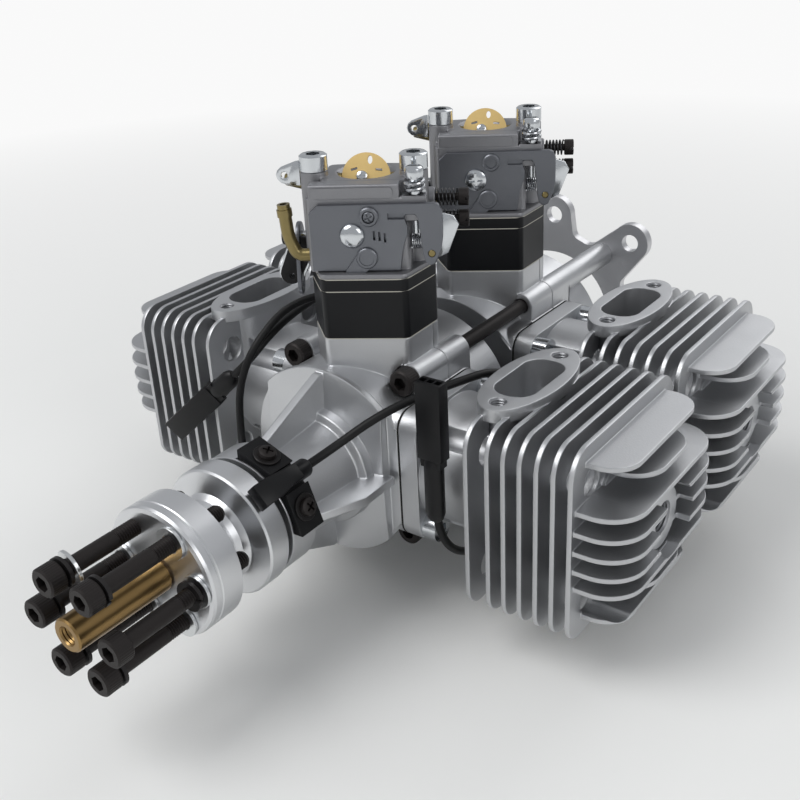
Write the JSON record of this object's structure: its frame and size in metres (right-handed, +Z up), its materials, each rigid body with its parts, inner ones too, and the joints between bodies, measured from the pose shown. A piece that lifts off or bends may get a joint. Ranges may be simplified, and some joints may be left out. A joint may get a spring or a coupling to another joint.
{
  "type": "flat four-cylinder two-stroke model aircraft engine",
  "caption": "Flat boxer two-stroke model aircraft engine: two finned twins in line on a mount plate, with propeller hub, carburettors and crank sensor cables.",
  "frame": {"origin": "middle of the mount plate's back face, on the crank axis", "axes": "X to the right-hand cylinders, Y from the propeller to the mount plate, Z up to the carburettors"},
  "size_m": [0.2152, 0.2559, 0.1407],
  "materials": {
    "cast_case": "satin, bead-blasted die casting",
    "cast_cylinder": "satin, bead-blasted die casting",
    "gasket_paper": "matte dark fibre",
    "black_oxide_steel": "black oxide, oiled",
    "bearing_steel": "ground",
    "seal_rubber": "matte",
    "machined_plate": "machined",
    "machined_alloy": "turned",
    "black_block": "moulded black nylon",
    "reed_valve": "moulded",
    "dark_insulator": "moulded heat insulator",
    "zinc_carb": "die-cast, bluish satin",
    "zinc_cover": "zinc plated",
    "bright_zinc": "bright zinc plate",
    "brass_tube": "turned and polished",
    "brass": "turned",
    "spring_steel": "dark drawn wire",
    "black_plastic": "moulded",
    "black_anodised": "black anodised",
    "cable_sleeve": "smooth sheath",
    "ground_steel": "ground",
    "turned_hub": "turned",
    "magnet": "nickel plated",
    "dark_washer": "black oxide",
    "zinc_washer": "zinc plated",
    "piston_alloy": "turned",
    "yellow_brass_plate": "yellow passivated"
  },
  "bodies": {
    "engine": {"front_case_nose_half": "cast_case", "front_case_rear_half": "cast_case", "rear_case_front_half": "cast_case", "rear_case_rear_half": "cast_case", "front_right_cylinder": "cast_cylinder", "front_left_cylinder": "cast_cylinder", "rear_right_cylinder": "cast_cylinder", "rear_left_cylinder": "cast_cylinder", "base_gaskets": "gasket_paper", "cylinder_bolts": "bright_zinc", "main_bearings": "bearing_steel", "crank_seal": "seal_rubber", "mount_plate": "machined_plate", "case_bolts": "black_oxide_steel", "reed_blocks": "black_block", "reed_valves": "reed_valve", "insulators": "dark_insulator", "front_carb_body": "zinc_carb", "rear_carb_body": "zinc_carb", "carb_covers": "zinc_cover", "carb_cover_screws": "bright_zinc", "carb_mount_screws": "bright_zinc", "fuel_nipples": "brass", "adjuster_screws": "bright_zinc", "carb_springs": "spring_steel", "hall_sensors": "black_plastic", "sensor_clamps": "black_anodised", "right_sensor_cable": "cable_sleeve", "left_sensor_cable": "cable_sleeve", "right_connector": "black_plastic", "left_connector": "black_plastic"},
    "crank": {"front_crankshaft": "ground_steel", "rear_crankshaft": "ground_steel", "crank_coupling": "machined_alloy", "prop_hub": "turned_hub", "hub_magnet": "magnet", "prop_bolts": "black_oxide_steel", "lock_washers": "dark_washer", "flat_washers": "zinc_washer", "centre_tube": "brass_tube"},
    "front_right_piston_set": {"front_right_piston": "piston_alloy", "front_right_rod": "ground_steel"},
    "front_left_piston_set": {"front_left_piston": "piston_alloy", "front_left_rod": "ground_steel"},
    "front_choke": {"front_choke_plate": "yellow_brass_plate", "front_choke_shaft": "brass"},
    "front_throttle": {"front_throttle_plate": "yellow_brass_plate", "front_throttle_shaft": "ground_steel", "front_throttle_lever": "zinc_cover"},
    "rear_right_piston_set": {"rear_right_piston": "piston_alloy", "rear_right_rod": "ground_steel"},
    "rear_left_piston_set": {"rear_left_piston": "piston_alloy", "rear_left_rod": "ground_steel"},
    "rear_choke": {"rear_choke_plate": "yellow_brass_plate", "rear_choke_shaft": "brass"},
    "rear_throttle": {"rear_throttle_plate": "yellow_brass_plate", "rear_throttle_shaft": "ground_steel", "rear_throttle_lever": "zinc_cover"}
  },
  "joints": [
    {"name": "crank_spin", "type": "hinge", "parent": "engine", "child": "crank", "pos_m": [0, 0, 0], "axis": [0, 1, 0], "continuous": true},
    {"name": "front_right_piston_slide", "type": "slide", "parent": "engine", "child": "front_right_piston_set", "axis": [1, 0, 0], "range_m": [-0.03, 0]},
    {"name": "front_left_piston_slide", "type": "slide", "parent": "engine", "child": "front_left_piston_set", "axis": [-1, 0, 0], "range_m": [-0.03, 0]},
    {"name": "front_choke_turn", "type": "hinge", "parent": "engine", "child": "front_choke", "pos_m": [0.00025, -0.1236, 0.0844], "axis": [0.866, 0.5, 0], "range_deg": [-66, 22]},
    {"name": "front_throttle_turn", "type": "hinge", "parent": "engine", "child": "front_throttle", "pos_m": [0.00025, -0.1236, 0.0665], "axis": [0.866, 0.5, 0], "range_deg": [-4, 78]},
    {"name": "rear_right_piston_slide", "type": "slide", "parent": "engine", "child": "rear_right_piston_set", "axis": [1, 0, 0], "range_m": [0, 0.03]},
    {"name": "rear_left_piston_slide", "type": "slide", "parent": "engine", "child": "rear_left_piston_set", "axis": [-1, 0, 0], "range_m": [0, 0.03]},
    {"name": "rear_choke_turn", "type": "hinge", "parent": "engine", "child": "rear_choke", "pos_m": [0.00025, -0.0556, 0.0844], "axis": [0.866, 0.5, 0], "range_deg": [-66, 22]},
    {"name": "rear_throttle_turn", "type": "hinge", "parent": "engine", "child": "rear_throttle", "pos_m": [0.00025, -0.0556, 0.0665], "axis": [0.866, 0.5, 0], "range_deg": [-4, 78]}
  ],
  "couplings": [
    {"joint": "front_left_piston_slide", "follows": "front_right_piston_slide", "ratio": 1},
    {"joint": "rear_left_piston_slide", "follows": "rear_right_piston_slide", "ratio": 1}
  ]
}
